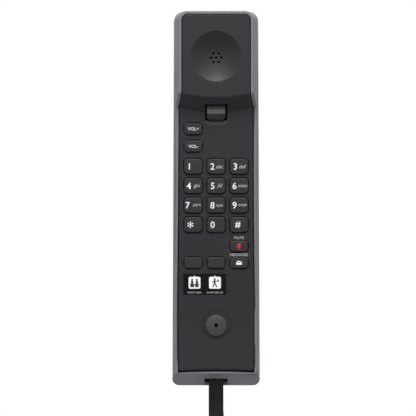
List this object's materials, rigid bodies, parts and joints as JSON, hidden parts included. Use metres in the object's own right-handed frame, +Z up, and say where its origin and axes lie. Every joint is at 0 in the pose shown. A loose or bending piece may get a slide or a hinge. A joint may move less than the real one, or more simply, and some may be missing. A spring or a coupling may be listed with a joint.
{
  "type": "slimline wall phone",
  "caption": "Slim handset with a keypad in its face, hung face outwards on a thin wall cradle and joined to it by a flat cord.",
  "frame": {"origin": "midway between the two wall keyholes, on the cradle's back plane", "axes": "+X to the viewer's right, +Y into the wall, +Z up"},
  "size_m": [0.0508, 0.0562, 0.4356],
  "materials": {
    "shell_grey": "fine satin texture",
    "face_black": "satin, finely textured",
    "key_black": "fine texture with printed white legends",
    "lever_black": "satin",
    "screw_steel": "zinc plated",
    "capsule_metal": "plain",
    "foam": "closed-cell foam",
    "lead_jacket": "insulated wire",
    "rubber_black": "matt",
    "rubber_grey": "matt",
    "card_black": "printed card",
    "clear_window": "clear",
    "board_green": "solder mask",
    "component_black": "moulded",
    "weight_iron": "plain",
    "magnet": "nickel plated",
    "pin_steel": "ground",
    "spring_steel": "wire",
    "jack_black": "moulded",
    "contact_gold": "gold plated",
    "plug_clear": "clear moulding",
    "cord_black": "smooth jacket with fine ribs",
    "tie_fabric": "hook-and-loop strap",
    "cradle_grey": "fine satin texture",
    "plate_black": "moulded",
    "reed_glass": "clear",
    "ringer_brass": "plain"
  },
  "bodies": {
    "cradle": {"cradle_cover": "cradle_grey", "cradle_back_plate": "plate_black", "cradle_screws": "screw_steel", "cradle_pads": "rubber_black", "cradle_circuit_board": "board_green", "cradle_components": "component_black", "reed_switch": "reed_glass", "ringer": "ringer_brass", "line_jack": "jack_black", "line_jack_contacts": "contact_gold", "cradle_jack": "jack_black", "cradle_jack_contacts": "contact_gold", "cord_plug_cradle": "plug_clear", "return_cord": "cord_black"},
    "handset": {"handset_back_shell": "shell_grey", "handset_face_shell": "face_black", "shell_screws": "screw_steel", "receiver_capsule": "capsule_metal", "receiver_gasket": "foam", "receiver_leads": "lead_jacket", "microphone_capsule": "capsule_metal", "microphone_boot": "rubber_black", "keypad_mat": "rubber_grey", "speed_dial_card": "card_black", "card_window": "clear_window", "handset_circuit_board": "board_green", "board_components": "component_black", "balance_weight": "weight_iron", "hook_magnet": "magnet", "hook_lever_pin": "pin_steel", "hook_spring": "spring_steel", "hook_switch": "component_black", "handset_jack": "jack_black", "handset_jack_contacts": "contact_gold", "cord_plug_handset": "plug_clear", "handset_cord": "cord_black", "cord_hank": "cord_black", "cord_tie": "tie_fabric"},
    "hook_lever_body": {"hook_lever": "lever_black"},
    "key_1_body": {"key_1": "key_black"},
    "key_2_body": {"key_2": "key_black"},
    "key_3_body": {"key_3": "key_black"},
    "key_4_body": {"key_4": "key_black"},
    "key_5_body": {"key_5": "key_black"},
    "key_6_body": {"key_6": "key_black"},
    "key_7_body": {"key_7": "key_black"},
    "key_8_body": {"key_8": "key_black"},
    "key_9_body": {"key_9": "key_black"},
    "key_star_body": {"key_star": "key_black"},
    "key_0_body": {"key_0": "key_black"},
    "key_pound_body": {"key_pound": "key_black"},
    "key_volume_up_body": {"key_volume_up": "key_black"},
    "key_volume_down_body": {"key_volume_down": "key_black"},
    "key_mute_body": {"key_mute": "key_black"},
    "key_messages_body": {"key_messages": "key_black"},
    "key_speed_1_body": {"key_speed_1": "key_black"},
    "key_speed_2_body": {"key_speed_2": "key_black"}
  },
  "joints": [
    {"name": "handset_lift", "type": "slide", "parent": "cradle", "child": "handset", "axis": [0, -0.7071, 0.7071], "range_m": [0, 0.012]},
    {"name": "hook_lever_pivot", "type": "hinge", "parent": "handset", "child": "hook_lever_body", "pos_m": [0, -0.039, 0.058], "axis": [1, 0, 0], "range_deg": [0, 10], "stiffness_Nm_per_rad": 0.02, "springref_deg": -9.74},
    {"name": "key_1_press", "type": "slide", "parent": "handset", "child": "key_1_body", "axis": [0, 1, 0], "range_m": [0, 0.001], "stiffness_N_per_m": 400, "springref_m": -0.0005},
    {"name": "key_2_press", "type": "slide", "parent": "handset", "child": "key_2_body", "axis": [0, 1, 0], "range_m": [0, 0.001], "stiffness_N_per_m": 400, "springref_m": -0.0005},
    {"name": "key_3_press", "type": "slide", "parent": "handset", "child": "key_3_body", "axis": [0, 1, 0], "range_m": [0, 0.001], "stiffness_N_per_m": 400, "springref_m": -0.0005},
    {"name": "key_4_press", "type": "slide", "parent": "handset", "child": "key_4_body", "axis": [0, 1, 0], "range_m": [0, 0.001], "stiffness_N_per_m": 400, "springref_m": -0.0005},
    {"name": "key_5_press", "type": "slide", "parent": "handset", "child": "key_5_body", "axis": [0, 1, 0], "range_m": [0, 0.001], "stiffness_N_per_m": 400, "springref_m": -0.0005},
    {"name": "key_6_press", "type": "slide", "parent": "handset", "child": "key_6_body", "axis": [0, 1, 0], "range_m": [0, 0.001], "stiffness_N_per_m": 400, "springref_m": -0.0005},
    {"name": "key_7_press", "type": "slide", "parent": "handset", "child": "key_7_body", "axis": [0, 1, 0], "range_m": [0, 0.001], "stiffness_N_per_m": 400, "springref_m": -0.0005},
    {"name": "key_8_press", "type": "slide", "parent": "handset", "child": "key_8_body", "axis": [0, 1, 0], "range_m": [0, 0.001], "stiffness_N_per_m": 400, "springref_m": -0.0005},
    {"name": "key_9_press", "type": "slide", "parent": "handset", "child": "key_9_body", "axis": [0, 1, 0], "range_m": [0, 0.001], "stiffness_N_per_m": 400, "springref_m": -0.0005},
    {"name": "key_star_press", "type": "slide", "parent": "handset", "child": "key_star_body", "axis": [0, 1, 0], "range_m": [0, 0.001], "stiffness_N_per_m": 400, "springref_m": -0.0005},
    {"name": "key_0_press", "type": "slide", "parent": "handset", "child": "key_0_body", "axis": [0, 1, 0], "range_m": [0, 0.001], "stiffness_N_per_m": 400, "springref_m": -0.0005},
    {"name": "key_pound_press", "type": "slide", "parent": "handset", "child": "key_pound_body", "axis": [0, 1, 0], "range_m": [0, 0.001], "stiffness_N_per_m": 400, "springref_m": -0.0005},
    {"name": "key_volume_up_press", "type": "slide", "parent": "handset", "child": "key_volume_up_body", "axis": [0, 1, 0], "range_m": [0, 0.001], "stiffness_N_per_m": 400, "springref_m": -0.0005},
    {"name": "key_volume_down_press", "type": "slide", "parent": "handset", "child": "key_volume_down_body", "axis": [0, 1, 0], "range_m": [0, 0.001], "stiffness_N_per_m": 400, "springref_m": -0.0005},
    {"name": "key_mute_press", "type": "slide", "parent": "handset", "child": "key_mute_body", "axis": [0, 1, 0], "range_m": [0, 0.001], "stiffness_N_per_m": 400, "springref_m": -0.0005},
    {"name": "key_messages_press", "type": "slide", "parent": "handset", "child": "key_messages_body", "axis": [0, 1, 0], "range_m": [0, 0.001], "stiffness_N_per_m": 400, "springref_m": -0.0005},
    {"name": "key_speed_1_press", "type": "slide", "parent": "handset", "child": "key_speed_1_body", "axis": [0, 1, 0], "range_m": [0, 0.001], "stiffness_N_per_m": 400, "springref_m": -0.0005},
    {"name": "key_speed_2_press", "type": "slide", "parent": "handset", "child": "key_speed_2_body", "axis": [0, 1, 0], "range_m": [0, 0.001], "stiffness_N_per_m": 400, "springref_m": -0.0005}
  ]
}
